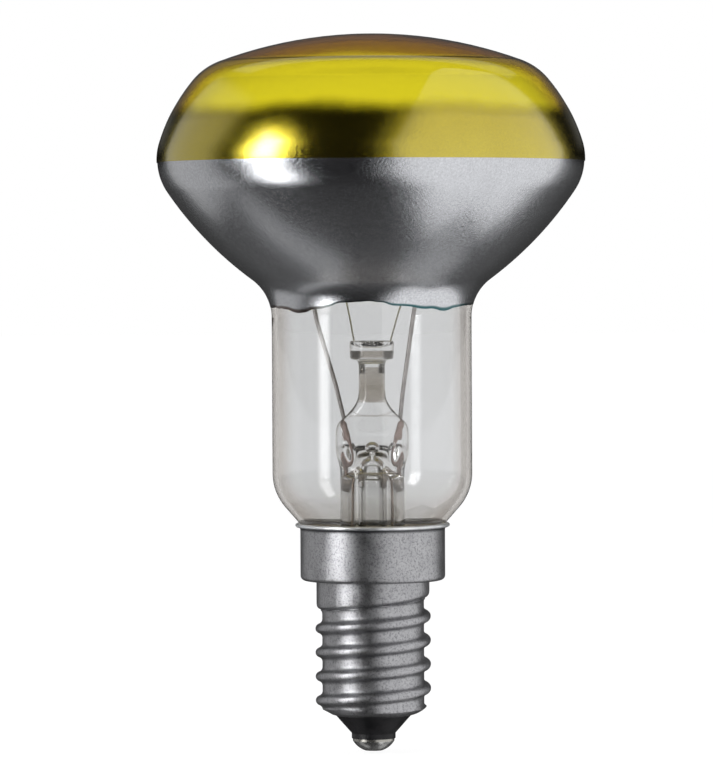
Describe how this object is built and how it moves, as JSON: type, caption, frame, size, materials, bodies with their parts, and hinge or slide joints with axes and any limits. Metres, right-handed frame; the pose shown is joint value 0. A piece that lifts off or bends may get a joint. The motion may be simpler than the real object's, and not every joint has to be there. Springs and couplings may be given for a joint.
{
  "type": "reflector light bulb",
  "caption": "Reflector light bulb with a yellow lacquered face, mirrored bowl and clear neck that shows its glass stem, on a small threaded metal cap with an end contact.",
  "frame": {"origin": "middle of the end contact, on the lamp's axis", "axes": "+Z along the axis from the end contact to the face, +X to the right and -Y to the front"},
  "size_m": [0.0502, 0.0502, 0.0841],
  "materials": {
    "clear_glass": "polished",
    "mirror_film": "bright vapour-deposited film",
    "yellow_lacquer": "clear gloss lacquer",
    "stem_glass": "fire polished",
    "seal_metal": "oxidised copper sheath",
    "lead_metal": "drawn nickel wire",
    "support_metal": "drawn wire",
    "filament_metal": "dark coiled wire",
    "copper": "drawn copper wire",
    "cement": "baked brown cement",
    "cap_metal": "satin pressed sheet",
    "black_glass": "gloss black moulded glass",
    "contact_metal": "stamped brass",
    "solder": "bright solder"
  },
  "bodies": {
    "root": {"glass_bulb": "clear_glass", "mirror_coating": "mirror_film", "dome_lacquer": "yellow_lacquer", "flare_tube": "stem_glass", "exhaust_tube": "stem_glass", "arbor_rod": "stem_glass", "seal_wire_left": "seal_metal", "seal_wire_right": "seal_metal", "inner_lead_left": "lead_metal", "inner_lead_right": "lead_metal", "support_wire_left": "support_metal", "support_wire_right": "support_metal", "filament": "filament_metal", "outer_lead_side": "copper", "outer_lead_centre": "copper", "capping_cement": "cement", "cap_shell": "cap_metal", "cap_insulator": "black_glass", "contact_plate": "contact_metal", "contact_solder": "solder", "side_solder": "solder"}
  },
  "joints": []
}
